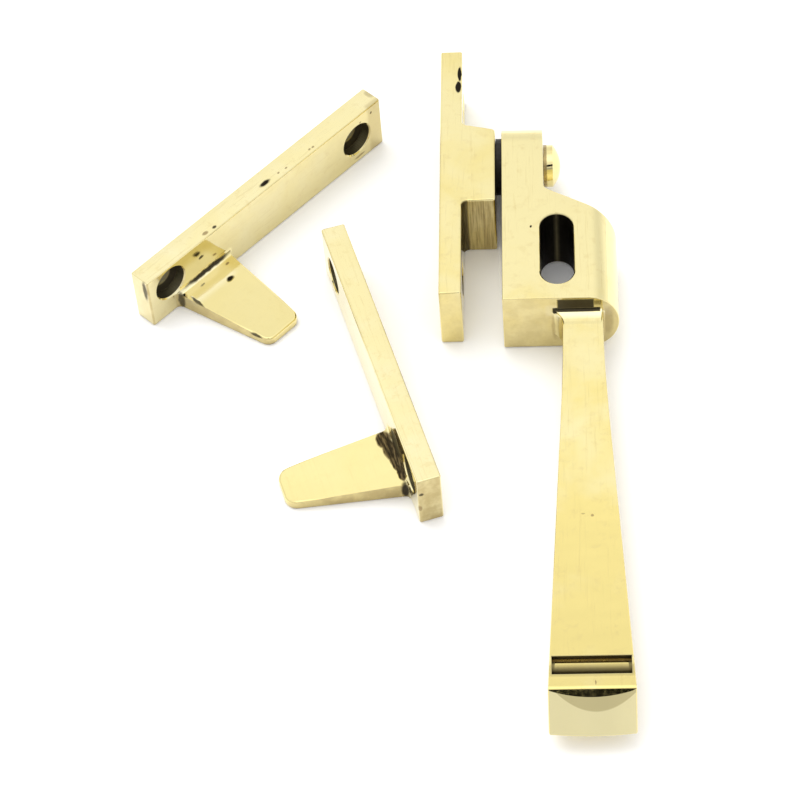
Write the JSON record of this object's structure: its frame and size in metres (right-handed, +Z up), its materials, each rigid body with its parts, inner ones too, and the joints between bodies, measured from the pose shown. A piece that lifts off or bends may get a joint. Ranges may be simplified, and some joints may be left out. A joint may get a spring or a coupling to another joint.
{
  "type": "casement window fastener",
  "caption": "Cast brass casement fastener with a swinging slotted lever handle on a riveted pivot, a strap back plate and a handed pair of tongued keep plates.",
  "frame": {"origin": "middle of the back plate's mounting face, the face that lies on the sash", "axes": "+X out of the sash along the pivot pin, +Y along the back plate away from the lever tip, +Z up from the table along the plate's width"},
  "size_m": [0.1088, 0.1791, 0.0172],
  "materials": {
    "plate_brass": "cast brass, polished on the seen faces and left dull in the inner corners",
    "pin_brass": "turned brass, polished dome head",
    "washer_fibre": "dark vulcanised fibre, matt",
    "handle_brass": "cast brass, buffed to a soft mirror with dark corners",
    "keep_left_brass": "cast brass, hand polished, small casting pits",
    "keep_right_brass": "cast brass, hand polished, dark old patina at the tongue root"
  },
  "bodies": {
    "fixed": {"back_plate": "plate_brass", "pivot_pin": "pin_brass", "friction_washer": "washer_fibre"},
    "handle": {"handle": "handle_brass"},
    "keep_left": {"keep_plate_left": "keep_left_brass"},
    "keep_right": {"keep_plate_right": "keep_right_brass"}
  },
  "joints": [
    {"name": "handle_pivot", "type": "hinge", "parent": "fixed", "child": "handle", "pos_m": [0, 0.0078, 0], "axis": [-1, 0, 0], "range_deg": [0, 180]},
    {"name": "keep_left_lift", "type": "slide", "parent": "fixed", "child": "keep_left", "axis": [0, 0, 1], "range_m": [0, 0.04]},
    {"name": "keep_right_lift", "type": "slide", "parent": "fixed", "child": "keep_right", "axis": [0, 0, 1], "range_m": [0, 0.04]}
  ]
}
